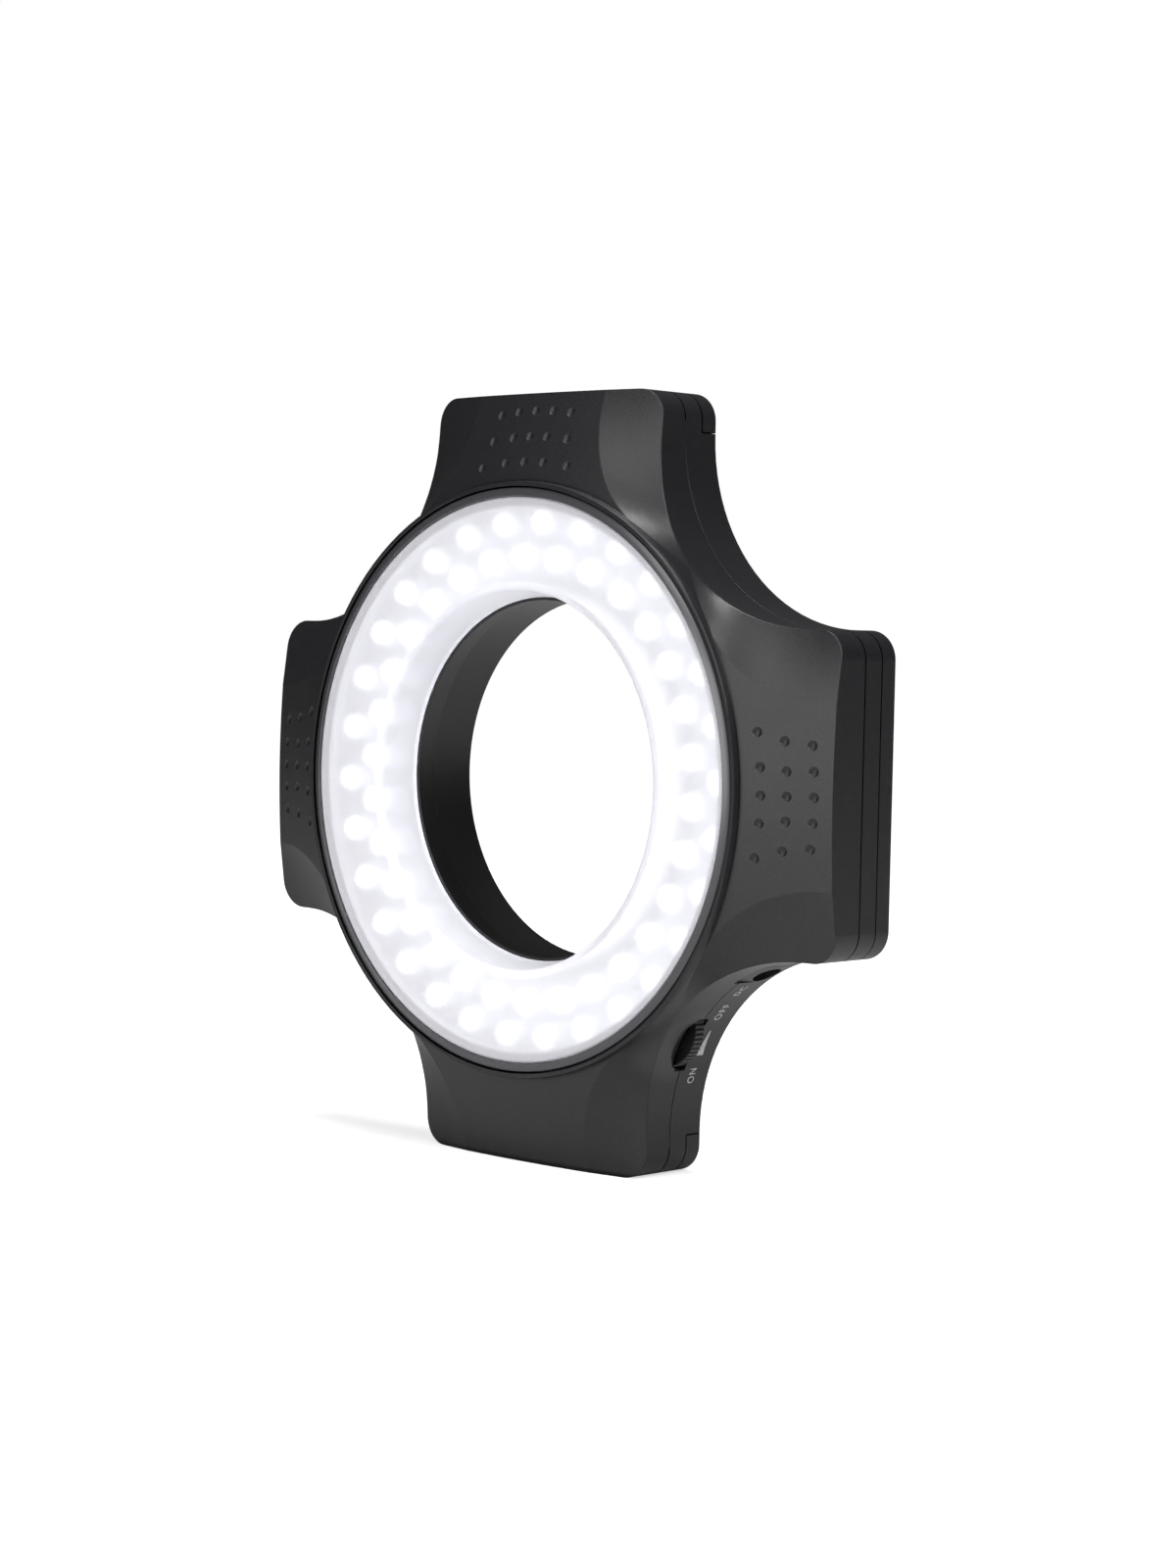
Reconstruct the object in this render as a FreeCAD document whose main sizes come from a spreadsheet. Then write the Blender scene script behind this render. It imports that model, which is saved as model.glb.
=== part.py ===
import FreeCAD, Part
import math
import os
import re
import Sketcher
from FreeCAD import Placement, Rotation, Vector

# LED ring light: a flat cross of four battery arms round a lit ring with a through bore.
# The lens axis is Y. The front faces -Y and +Z is up. The origin is the centre of the
# bore in the flat rear face, so a "depth" below is a distance forward of that face.

doc = FreeCAD.newDocument("RingLight")
sizes = doc.addObject("Spreadsheet::Sheet", "Sizes")

VALUES = [
    # Outline of the housing, seen from the front. The notches are arcs tangent to the arms' sides.
    ("half_span", 74.0),
    ("arm_half_width", 29.8),
    ("arm_corner_radius", 5.4),
    ("arm_straight", 2.7),
    ("notch_radius", "half_span - arm_corner_radius - arm_straight - arm_half_width"),
    # The collar's foot just clears the notches at the diagonals
    ("notch_rest", 0.097),
    ("cone_base_radius", "(arm_half_width + notch_radius) * sqrt(2) - notch_radius - notch_rest"),
    ("collar_draft", 0.2),
    ("collar_wall", 1.0),
    ("collar_radius", "cone_base_radius - collar_draft"),
    ("collar_opening", "cone_base_radius - collar_wall"),
    # Depths of the housing
    ("seam_depth", 9.1),
    ("door_depth", 4.5),
    ("end_edge_depth", 17.5),
    ("cone_base_depth", 22.7),
    ("collar_rise", 1.4),
    ("collar_depth", "cone_base_depth + collar_rise"),
    ("rear_round", 0.8),
    # Side facets of the arms, between a crease on the cone and the wall's edge
    ("facet_width", 13.2),
    ("crease_half_width", "arm_half_width - facet_width"),
    ("crease_straight", 2.0),
    ("crease_start", "half_span - crease_straight"),
    ("crease_end_angle", 29.77),
    ("facet_end_drop", 2.4),
    ("facet_arm_drop", 2.0),
    ("facet_notch_drop", 4.7),
    ("facet_end_depth", "end_edge_depth - facet_end_drop"),
    ("facet_arm_depth", "end_edge_depth - facet_arm_drop"),
    ("facet_notch_depth", "cone_base_depth - facet_notch_drop"),
    # Walls
    ("side_wall", 2.0),
    ("front_wall", 1.6),
    ("floor_wall", 2.0),
    ("inner_corner_radius", 2.4),
    ("seam_groove", 0.18),
    ("seam_groove_width", 0.24),
    # Grip dimples: three bowed rows of five on an arm
    ("dimple_radius", 0.95),
    ("dimple_sink", 0.35),
    ("dimple_row_in", "cone_base_radius + 3.75"),
    ("dimple_row_mid", "half_span - 8.4"),
    ("dimple_row_out", "half_span - 3.4"),
    ("dimple_step_in", 4.75),
    ("dimple_step_mid", 3.9),
    ("dimple_step_out", 3.7),
    ("dimple_end_in", 10.7),
    ("dimple_end_mid", 8.6),
    ("dimple_end_out", 7.5),
    # Lens tube
    ("bore_radius", 35.2),
    ("bore_straight", 10.0),
    ("tube_taper", 0.7),
    ("tube_mouth_radius", "bore_radius - tube_taper"),
    ("tube_depth", 14.9),
    ("tube_wall", 1.6),
    ("tube_flange", 1.8),
    ("tube_flange_thick", 1.2),
    ("tube_clearance", 0.15),
    # Diffuser and bezel
    ("funnel_step", 0.1),
    ("funnel_rear_radius", "bore_radius - funnel_step"),
    ("funnel_gap", 0.1),
    ("funnel_flare", 1.1),
    ("funnel_front_radius", "funnel_rear_radius + funnel_flare"),
    ("diffuser_roll", 1.8),
    ("diffuser_set_back", 0.1),
    ("diffuser_depth", "collar_depth - diffuser_set_back"),
    ("bezel_gap", 0.1),
    ("bezel_side_gap", 0.2),
    ("bezel_width", 1.75),
    ("diffuser_radius", "collar_opening - bezel_side_gap - bezel_width - bezel_gap"),
    ("diffuser_wall", 1.5),
    ("diffuser_edge", 0.6),
    ("diffuser_skirt", 4.0),
    ("bezel_rise", 0.4),
    ("bezel_depth", "collar_depth + bezel_rise"),
    ("bezel_round", 0.5),
    ("bezel_foot", 1.0),
    ("seat_thick", 1.2),
    ("seat_width", 1.1),
    # LED board and LEDs
    ("led_rest", 3.0),
    ("led_tip_depth", "diffuser_depth - led_rest"),
    ("led_height", 8.6),
    ("led_radius", 2.5),
    ("led_flange_radius", 2.9),
    ("led_flange_thick", 1.0),
    ("outer_led_edge", 4.45),
    ("inner_led_edge", 6.6),
    ("outer_led_circle", "diffuser_radius - outer_led_edge"),
    ("inner_led_circle", "funnel_front_radius + inner_led_edge"),
    ("led_count", 30),
    ("outer_led_phase", 2.0),
    ("inner_led_phase", 8.0),
    ("board_thick", 1.5),
    ("board_inner_gap", 1.6),
    ("board_outer_gap", 1.4),
    ("board_inner_radius", "bore_radius + tube_wall + board_inner_gap"),
    ("board_outer_radius", "collar_opening - board_outer_gap"),
    ("post_circle", "inner_led_circle + 5.3"),
    ("post_radius", 2.4),
    ("board_screw_radius", 1.0),
    ("board_screw_head", 1.9),
    ("board_screw_head_thick", 1.0),
    ("board_screw_length", 5.0),
    # Case screws, entered from the rear
    ("case_screw_inset", 5.4),
    ("case_screw_along", "arm_half_width + 0.67 * notch_radius"),
    ("case_screw_across", "arm_half_width - case_screw_inset"),
    ("case_boss_radius", 2.3),
    ("case_boss_depth", "facet_notch_depth + 0.6"),
    ("case_screw_radius", 0.9),
    ("case_screw_head", 1.55),
    ("case_screw_head_thick", 1.2),
    ("case_screw_sink", 0.6),
    ("case_screw_length", 14.0),
    ("screw_clearance", 0.15),
    # Doors' plate, then the batteries that lie on it between their contacts
    ("door_plate", 1.2),
    ("door_lip", 0.6),
    ("cell_rest", 0.35),
    ("cell_end_gap", 2.7),
    ("spring_room", 2.9),
    ("contact_thick", 0.4),
    ("cell_radius", 7.0),
    ("cell_length", "2 * (arm_half_width - side_wall - contact_thick - spring_room)"),
    ("cell_nub_radius", 2.6),
    ("cell_nub", 1.0),
    ("cell_along", "half_span - cell_radius - cell_end_gap"),
    ("cell_depth", "door_plate + cell_rest + cell_radius"),
    ("contact_half_width", 4.5),
    ("contact_rear_depth", 4.0),
    ("contact_front_depth", "cell_depth + 4.05"),
    ("ledge_front_depth", "cell_depth + 0.45"),
    ("spring_small_radius", 2.4),
    ("spring_large_radius", 4.0),
    # Battery doors
    ("door_length", 7.7),
    ("door_seam_along", "half_span - door_length"),
    ("door_gap", 0.15),
    ("bay_length", 17.0),
    ("bay_start", "half_span - bay_length"),
    ("bay_side", 4.0),
    ("bay_half_width", "arm_half_width - bay_side"),
    ("bay_ledge", 1.2),
    ("door_slide_gap", 0.1),
    # Dimmer thumbwheel in the lower right notch
    ("wheel_angle", 29.5),
    ("wheel_radius", 8.0),
    ("wheel_reach", 1.8),
    ("wheel_behind_seam", 1.1),
    ("wheel_rear_depth", "seam_depth - wheel_behind_seam"),
    ("wheel_thick", 2.4),
    ("wheel_ridges", 52),
    ("wheel_groove", 0.3),
    ("wheel_clearance", 0.3),
    ("slot_half_length", "wheel_radius - 2.1"),
    ("scoop_half_length", 5.6),
    ("scoop_half_width", 2.8),
    ("scoop_sink", 1.1),
    ("shaft_radius", 1.5),
    ("shaft_clearance", 0.05),
    ("pot_radius", 3.9),
    ("pot_thick", 3.2),
    ("pot_gap", 0.3),
    ("control_board_thick", 1.2),
    ("control_board_in", "bore_radius + tube_wall + 3.2"),
    ("control_board_out", "cone_base_radius - 2.8"),
    ("control_board_from", 48.0),
    ("control_board_sweep", 24.0),
    ("standoff_radius", 1.5),
    ("standoff_circle", "control_board_in + 3.5"),
    # Supply socket in the same notch
    ("jack_angle", 61.5),
    ("jack_depth", 4.2),
    ("jack_body_radius", 3.25),
    ("jack_length", 9.5),
    ("jack_mouth_radius", 2.75),
    ("jack_mouth_depth", 8.0),
    ("jack_pin_radius", 1.0),
    ("jack_pin_length", 6.8),
    ("jack_gap", 0.05),
    ("jack_pocket_gap", 0.1),
    ("jack_face_sink", 0.35),
    ("jack_face_fade", 0.7),
    ("jack_face_left", 3.0),
    ("jack_face_right", 5.7),
    ("jack_face_rear", 1.5),
    ("jack_face_front", 10.6),
]

for row, (alias, size) in enumerate(VALUES, start=1):
    sizes.set("A%d" % row, alias)
    sizes.set("B%d" % row, "=" + size if isinstance(size, str) else str(size))
    sizes.setAlias("B%d" % row, alias)
doc.recompute()

NAMES = {alias for alias, size in VALUES}

# Lengths that follow from the ones above
NOTCH = "(arm_half_width + notch_radius)"
SLOPE = "((cone_base_depth - end_edge_depth) / (half_span - cone_base_radius))"
FAR = "(half_span * 1.2)"
TUBE_OUT = "(bore_radius + tube_wall)"
LED_BASE = "(led_tip_depth - led_height)"
BOARD_REAR = "(led_tip_depth - led_height - board_thick)"
SEAT_FRONT = "(diffuser_depth - diffuser_skirt - bezel_gap - bezel_foot)"
POT_FRONT = "(wheel_rear_depth - pot_gap)"
POT_REAR = "(wheel_rear_depth - pot_gap - pot_thick)"
CONTROL_REAR = "(wheel_rear_depth - pot_gap - pot_thick - control_board_thick)"
WHEEL_OUT = "(notch_radius + wheel_radius - wheel_reach)"
CONTACT_V = "(cell_length / 2 + cell_nub)"


def cells(text):
    """An expression of the document, with each alias given its sheet."""
    def sheet_name(match):
        word = match.group(0)
        return "Sizes." + word if word in NAMES else word
    return re.sub(r"[A-Za-z_][A-Za-z_0-9]*", sheet_name, text)


def number(text):
    return float(sizes.evalExpression(cells(text)))


def bind(obj, prop, text):
    obj.setExpression(prop, cells(text))


# Primitives

def box(name, x, depth, z):
    """A block between two x, two depths and two z."""
    obj = doc.addObject("Part::Box", name)
    bind(obj, "Length", "(%s) - (%s)" % (x[1], x[0]))
    bind(obj, "Width", "(%s) - (%s)" % (depth[1], depth[0]))
    bind(obj, "Height", "(%s) - (%s)" % (z[1], z[0]))
    bind(obj, "Placement.Base.x", x[0])
    bind(obj, "Placement.Base.y", "-(%s)" % depth[1])
    bind(obj, "Placement.Base.z", z[0])
    return obj


def rod(name, radius, rear, front, x="0", z="0"):
    """A cylinder parallel to the lens axis between two depths."""
    obj = doc.addObject("Part::Cylinder", name)
    obj.Placement = Placement(Vector(), Rotation(Vector(1, 0, 0), 90))
    bind(obj, "Radius", radius)
    bind(obj, "Height", "(%s) - (%s)" % (front, rear))
    bind(obj, "Placement.Base.x", x)
    bind(obj, "Placement.Base.y", "-(%s)" % rear)
    bind(obj, "Placement.Base.z", z)
    return obj


def cross_rod(name, radius, x, depth, low, high):
    """A cylinder parallel to Z, across the right-hand arm."""
    obj = doc.addObject("Part::Cylinder", name)
    bind(obj, "Radius", radius)
    bind(obj, "Height", "(%s) - (%s)" % (high, low))
    bind(obj, "Placement.Base.x", x)
    bind(obj, "Placement.Base.y", "-(%s)" % depth)
    bind(obj, "Placement.Base.z", low)
    return obj


def notch_place(obj, angle, out, depth, side, turn="0"):
    """Put an object on the lower right notch: out from the notch's centre into the body."""
    bind(obj, "Placement.Base.x", "%s - (%s) * cos(%s) + (%s) * sin(%s)" % (NOTCH, out, angle, side, angle))
    bind(obj, "Placement.Base.y", "-(%s)" % depth)
    bind(obj, "Placement.Base.z", "-%s + (%s) * sin(%s) + (%s) * cos(%s)" % (NOTCH, out, angle, side, angle))
    obj.Placement.Rotation = Rotation(Vector(0, 1, 0), number("%s + %s" % (angle, turn)))
    bind(obj, "Placement.Rotation.Angle", "%s + %s" % (angle, turn))


def notch_box(name, angle, out, depth, side):
    obj = doc.addObject("Part::Box", name)
    bind(obj, "Length", "(%s) - (%s)" % (out[1], out[0]))
    bind(obj, "Width", "(%s) - (%s)" % (depth[1], depth[0]))
    bind(obj, "Height", "(%s) - (%s)" % (side[1], side[0]))
    notch_place(obj, angle, out[1], depth[1], side[0])
    return obj


def notch_rod(name, angle, radius, inner, outer, depth):
    """A cylinder that points out of the notch wall."""
    obj = doc.addObject("Part::Cylinder", name)
    bind(obj, "Radius", radius)
    bind(obj, "Height", "(%s) - (%s)" % (inner, outer))
    notch_place(obj, angle, inner, depth, "0", "90")
    return obj


# Booleans

def fuse(name, *shapes):
    obj = doc.addObject("Part::MultiFuse", name)
    obj.Shapes = list(shapes)
    return obj


def common(name, *shapes):
    obj = doc.addObject("Part::MultiCommon", name)
    obj.Shapes = list(shapes)
    return obj


def cut(name, base, *tools):
    obj = doc.addObject("Part::Cut", name)
    obj.Base = base
    obj.Tool = tools[0] if len(tools) == 1 else fuse(name + "_tools", *tools)
    return obj


# Sketched bodies

def outline_sketch(body, name, plane, outline, flip):
    """A closed outline of lines and arcs, each corner and radius bound to the sheet.

    An outline entry is (x, y) or (x, y, radius, side) where an arc runs to the next corner
    with its centre on the left (1) or right (-1) of the way there.
    """
    sketch = body.newObject("Sketcher::SketchObject", name)
    origin = [part for part in body.Origin.OriginFeatures if part.Role == plane][0]
    sketch.AttachmentSupport = [(origin, "")]
    sketch.MapMode = "FlatFace"
    corners = [Vector(number(entry[0]), flip * number(entry[1]), 0) for entry in outline]
    count = len(outline)
    ends = []
    for index, entry in enumerate(outline):
        start = corners[index]
        stop = corners[(index + 1) % count]
        if len(entry) == 2:
            sketch.addGeometry(Part.LineSegment(start, stop), False)
            ends.append((1, 2))
            continue
        radius = number(entry[2])
        side = entry[3] * flip
        chord = stop - start
        half = chord.Length / 2
        left = Vector(-chord.y, chord.x, 0).normalize()
        centre = (start + stop) * 0.5 + left * (side * math.sqrt(max(radius ** 2 - half ** 2, 0)))
        middle = centre - left * (side * radius)
        sketch.addGeometry(Part.Arc(start, middle, stop), False)
        ends.append((1, 2) if side > 0 else (2, 1))
    for index in range(count):
        following = (index + 1) % count
        sketch.addConstraint(Sketcher.Constraint(
            "Coincident", index, ends[index][1], following, ends[following][0]))
    for index, entry in enumerate(outline):
        at = ends[index][0]
        place = sketch.addConstraint(Sketcher.Constraint("DistanceX", index, at, corners[index].x))
        bind(sketch, "Constraints[%d]" % place, entry[0])
        place = sketch.addConstraint(Sketcher.Constraint("DistanceY", index, at, corners[index].y))
        bind(sketch, "Constraints[%d]" % place, entry[1] if flip > 0 else "-(%s)" % entry[1])
        if len(entry) > 2:
            place = sketch.addConstraint(Sketcher.Constraint("Radius", index, number(entry[2])))
            bind(sketch, "Constraints[%d]" % place, entry[2])
    return sketch


def turned(name, outline):
    """A body turned about the lens axis from corners given as radius and depth."""
    body = doc.addObject("PartDesign::Body", name)
    sketch = outline_sketch(body, name + "_section", "XY_Plane", outline, -1)
    turn = body.newObject("PartDesign::Revolution", name + "_turn")
    turn.Profile = sketch
    turn.ReferenceAxis = (sketch, ["V_Axis"])
    turn.Angle = 360
    return body


def plate(name, outline, rear, front):
    """A body padded forward from corners given as x and z."""
    body = doc.addObject("PartDesign::Body", name)
    sketch = outline_sketch(body, name + "_outline", "XZ_Plane", outline, 1)
    bind(sketch, "AttachmentOffset.Base.z", rear)
    pad = body.newObject("PartDesign::Pad", name + "_pad")
    pad.Profile = sketch
    bind(pad, "Length", "(%s) - (%s)" % (front, rear))
    return body


def cross_outline(inset, corner):
    """The cross of four arms, drawn in by a wall."""
    width = "(arm_half_width - %s)" % inset
    span = "(half_span - %s)" % inset
    bend = "(notch_radius + %s)" % inset
    quarter = [
        ("%s - %s" % (span, corner), "-%s" % width, corner, 1),
        (span, "-%s + %s" % (width, corner)),
        (span, "%s - %s" % (width, corner), corner, 1),
        ("%s - %s" % (span, corner), width),
        (NOTCH, width, bend, -1),
        (width, NOTCH),
    ]
    corners = []
    for turn in range(4):
        for entry in quarter:
            x, y = entry[0], entry[1]
            for step in range(turn):
                x, y = "-(%s)" % y, x
            corners.append((x, y) + tuple(entry[2:]))
    return corners


PARTS = []


def part(obj, label, turn=0):
    """Name a finished piece and turn it to its arm about the lens axis."""
    if turn:
        obj.Placement = Placement(Vector(), Rotation(Vector(0, 1, 0), turn))
    obj.Label = label
    PARTS.append(obj)
    return obj


ARMS = [("right", 0), ("top", -90), ("left", 180), ("bottom", 90)]


def copies(name, shape, places):
    """Equal solids in one piece, one at each place."""
    obj = doc.addObject("Part::Feature", name)
    solids = []
    for place in places:
        solid = shape.copy()
        solid.Placement = place.multiply(solid.Placement)
        solids.append(solid)
    obj.Shape = Part.makeCompound(solids)
    obj.Placement = Placement()
    return obj


# Facets beside each notch: the surface falls from the crease on the cone to the wall's edge

def cone_depth(radius):
    return number("cone_base_depth") - number(SLOPE) * (radius - number("cone_base_radius"))


def crease_point(along):
    """A point of the crease: straight at the arm's end, then an arc that swings out to the collar."""
    across = number("crease_half_width")
    start = number("crease_start")
    foot = math.radians(number("crease_end_angle"))
    run = start - number("cone_base_radius") * math.cos(foot)
    rise = number("cone_base_radius") * math.sin(foot) - across
    bend = (run ** 2 + rise ** 2) / (2 * rise)
    if along < start:
        across += bend - math.sqrt(bend ** 2 - (start - along) ** 2)
    return along, across, cone_depth(math.hypot(along, across))


def edge_depth(run):
    """Depth of the wall's front edge at a run along it from the arm's end towards the diagonal."""
    end_depth = number("facet_end_depth")
    rise = number("facet_notch_depth") - end_depth
    straight = number("half_span") - number(NOTCH)
    whole = straight + number("notch_radius") * math.pi / 4
    at_arm = math.asin(math.sqrt((number("facet_arm_depth") - end_depth) / rise)) * 2 / math.pi
    power = math.log(at_arm) / math.log(straight / whole)
    share = (max(run, 0) / whole) ** power
    return end_depth + rise * math.sin(math.pi / 2 * share) ** 2


def facet_stations():
    """Pairs of points, on the crease and on the wall's edge, from an arm's end to the diagonal."""
    span = number("half_span")
    bend = number("notch_radius")
    centre = number(NOTCH)
    base = number("cone_base_radius")
    foot = number("crease_end_angle")
    pairs = []
    # Along the straight side of the arm, straight across it
    for along in (span + 3, span, (span + centre) / 2):
        pairs.append((crease_point(along), (along, number("arm_half_width"), edge_depth(span - along))))

    def wall(angle):
        turn = math.radians(angle)
        depth = edge_depth(span - centre + bend * turn)
        return centre - bend * math.sin(turn), centre - bend * math.cos(turn), depth

    # Round the notch, straight across the arm until the crease reaches the collar
    last = math.degrees(math.asin((centre - base * math.cos(math.radians(foot))) / bend))
    for step in range(7):
        edge = wall(last * step / 6)
        pairs.append((crease_point(edge[0]), edge))
    # Along the foot of the collar to the diagonal, starting a little inside it
    for share in (0.3, 0.6, 0.85, 1):
        turn = math.radians(foot + (45 - foot) * share)
        inside = 0.5 * share
        top = number("cone_base_depth") + inside
        crease = ((base - inside) * math.cos(turn), (base - inside) * math.sin(turn), top)
        pairs.append((crease, wall(last + (45 - last) * share)))
    return pairs


def facet_section(crease, edge, inset):
    """The cutter's section through one pair: under it the facet, in front of it nothing."""
    inner = Vector(crease[0], -crease[2], crease[1])
    outer = Vector(edge[0], -edge[2], edge[1])
    line = outer - inner
    flat = Vector(line.x, 0, line.z).normalize()
    fall = line.dot(Vector(0, 1, 0))
    reach = line.dot(flat)
    length = math.hypot(fall, reach)
    sunk = (flat * -fall + Vector(0, 1, 0) * reach) * (inset / length)
    step = line * (1 / length)
    inner = inner + sunk - step * 1.5
    outer = outer + sunk + step * 1.5
    far = outer + flat * 6
    lift = Vector(0, -45, 0)
    corners = [inner, outer, far, Vector(far.x, lift.y, far.z), Vector(inner.x, lift.y, inner.z)]
    return Part.makePolygon(corners + corners[:1])


def facet_cutter(name, inset, turn):
    pairs = facet_stations()
    sections = [facet_section(crease, edge, inset) for crease, edge in pairs]
    for crease, edge in reversed(pairs[:-1]):
        crease = (crease[1], crease[0], crease[2])
        edge = (edge[1], edge[0], edge[2])
        sections.append(facet_section(crease, edge, inset))
    obj = doc.addObject("Part::Feature", name)
    obj.Shape = Part.makeLoft(sections, True, False)
    obj.Placement = Placement(Vector(), Rotation(Vector(0, 1, 0), turn))
    return obj


# Holes that both shells share: the thumbwheel's slot, the socket's face and the seam's groove

def wheel_slot(name):
    hole = rod(name + "_disc", "wheel_radius + wheel_clearance", "wheel_rear_depth - wheel_clearance",
               "wheel_rear_depth + wheel_thick + wheel_clearance", WHEEL_X, WHEEL_Z)
    slot = notch_box(name + "_slot", "wheel_angle", ("notch_radius - 2", "notch_radius + side_wall + 1"),
                     ("wheel_rear_depth - wheel_clearance", "wheel_rear_depth + wheel_thick + wheel_clearance"),
                     ("-slot_half_length", "slot_half_length"))
    return [hole, slot]


def jack_face(name):
    """A flat beside the socket, deepest at its front and running out of the wall towards the rear."""
    obj = doc.addObject("Part::Wedge", name)
    obj.Xmin, obj.Ymin, obj.Zmin, obj.Z2min = 0, 0, 0, 0
    bind(obj, "X2min", "jack_face_fade")
    bind(obj, "Xmax", "3 + jack_face_sink")
    bind(obj, "X2max", "3 + jack_face_sink")
    bind(obj, "Ymax", "jack_face_front - jack_face_rear")
    bind(obj, "Zmax", "jack_face_left + jack_face_right")
    bind(obj, "Z2max", "jack_face_left + jack_face_right")
    notch_place(obj, "jack_angle", "notch_radius + jack_face_sink", "jack_face_front", "-jack_face_left")
    return obj


def seam_groove(name):
    band = plate(name + "_band", cross_outline("(-seam_groove)", "arm_corner_radius"),
                 "seam_depth - seam_groove_width / 2", "seam_depth + seam_groove_width / 2")
    core = plate(name + "_core", cross_outline("seam_groove", "arm_corner_radius"),
                 "seam_depth - seam_groove_width", "seam_depth + seam_groove_width")
    return cut(name, band, core)


WHEEL_X = "%s - %s * cos(wheel_angle)" % (NOTCH, WHEEL_OUT)
WHEEL_Z = "-%s + %s * sin(wheel_angle)" % (NOTCH, WHEEL_OUT)
SCREW_PLACES = [
    ("case_screw_along", "-case_screw_across"),
    ("-case_screw_across", "-case_screw_along"),
    ("-case_screw_along", "case_screw_across"),
    ("case_screw_across", "case_screw_along"),
]
POST_ANGLES = ["inner_led_phase + 360 / led_count * %d" % step for step in (0, 8, 15, 23)]


def on_circle(circle, angle):
    return "%s * cos(%s)" % (circle, angle), "%s * sin(%s)" % (circle, angle)


# Front shell

front_outline = plate("front_outline", cross_outline("0", "arm_corner_radius"), "seam_depth", "collar_depth")
front_cone = turned("front_cone", [
    ("0", "seam_depth"), (FAR, "seam_depth"),
    (FAR, "cone_base_depth - %s * (%s - cone_base_radius)" % (SLOPE, FAR)),
    ("cone_base_radius", "cone_base_depth"), ("0", "cone_base_depth")])
front_mass = common("front_mass", front_outline, front_cone)
facets = [facet_cutter("facet_" + arm, 0, turn) for arm, turn in ARMS]
front_faceted = cut("front_faceted", front_mass, *facets)
collar_turned = turned("collar_turned", [
    ("0", "seam_depth"), ("cone_base_radius", "seam_depth"), ("cone_base_radius", "cone_base_depth"),
    ("collar_radius", "collar_depth"), ("0", "collar_depth")])
front_outer = fuse("front_outer", front_faceted, collar_turned)

cavity_outline = plate("cavity_outline", cross_outline("side_wall", "inner_corner_radius"),
                       "seam_depth - 1", "collar_depth")
cavity_cone = turned("cavity_cone", [
    ("0", "seam_depth - 1"), (FAR, "seam_depth - 1"),
    (FAR, "cone_base_depth - front_wall - %s * (%s - cone_base_radius)" % (SLOPE, FAR)),
    ("cone_base_radius", "cone_base_depth - front_wall"), ("0", "cone_base_depth - front_wall")])
cavity_mass = common("cavity_mass", cavity_outline, cavity_cone)
inner_facets = [facet_cutter("inner_facet_" + arm, number("front_wall"), turn) for arm, turn in ARMS]
front_cavity = cut("front_cavity", cavity_mass, *inner_facets)
front_skin = cut("front_skin", front_outer, front_cavity)

# The bezel's seat inside the collar, and the bosses that take the case screws
seat_ring = turned("seat_ring", [
    ("collar_opening - seat_width", SEAT_FRONT + " - seat_thick"),
    ("collar_radius", SEAT_FRONT + " - seat_thick"), ("collar_radius", "cone_base_depth"),
    ("collar_opening", "cone_base_depth"), ("collar_opening", SEAT_FRONT),
    ("collar_opening - seat_width", SEAT_FRONT)])
front_bosses = [rod("front_boss_%d" % index, "case_boss_radius", "seam_depth", "case_boss_depth", x, z)
                for index, (x, z) in enumerate(SCREW_PLACES)]
collar_hole = rod("collar_hole", "collar_opening", SEAT_FRONT, "collar_depth + 1")
ring_hole = rod("ring_hole", "collar_opening - seat_width", "seam_depth - 1", "collar_depth")
front_open = cut("front_open", front_skin, collar_hole, ring_hole)
front_solid = fuse("front_solid", front_open, seat_ring, *front_bosses)

dimples = []
for arm, turn in ARMS[:3]:
    for row in ("in", "mid", "out"):
        for position, share in ((0, "step"), (1, "step"), (-1, "step"), (1, "end"), (-1, "end")):
            radius = number("dimple_row_" + row)
            angle = position * number("dimple_%s_%s" % (share, row)) - turn
            sink = number("dimple_sink")
            ball = (number("dimple_radius") ** 2 + sink ** 2) / (2 * sink)
            slope = number(SLOPE)
            tilt = math.hypot(1, slope)
            out = radius + (ball - sink) * slope / tilt
            depth = cone_depth(radius) + (ball - sink) / tilt
            centre = Vector(out * math.cos(math.radians(angle)), -depth, out * math.sin(math.radians(angle)))
            dimples.append(Part.makeSphere(ball, centre, Vector(0, -1, 0)))
dimple_balls = doc.addObject("Part::Feature", "dimple_balls")
dimple_balls.Shape = Part.makeCompound(dimples)

pilot_holes = [rod("pilot_%d" % index, "case_screw_radius", "seam_depth - 1",
                   "case_screw_sink + case_screw_head_thick + case_screw_length + 0.2", x, z)
               for index, (x, z) in enumerate(SCREW_PLACES)]
scoop = doc.addObject("Part::Ellipsoid", "scoop")
bind(scoop, "Radius1", "scoop_half_length")
bind(scoop, "Radius2", "scoop_sink")
bind(scoop, "Radius3", "scoop_half_width")
scoop.Angle1, scoop.Angle2, scoop.Angle3 = -90, 90, 360
notch_place(scoop, "wheel_angle", "notch_radius", "wheel_rear_depth + wheel_thick", "0")
front_dimpled = cut("front_dimpled", front_solid, dimple_balls)
front_shell = cut("front_shell_solid", front_dimpled, scoop, jack_face("front_jack_face"),
                  seam_groove("front_seam_groove"), *(pilot_holes + wheel_slot("front_wheel")))
part(front_shell, "front_shell")

# Rear shell, with the four battery bays open behind their doors

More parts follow.
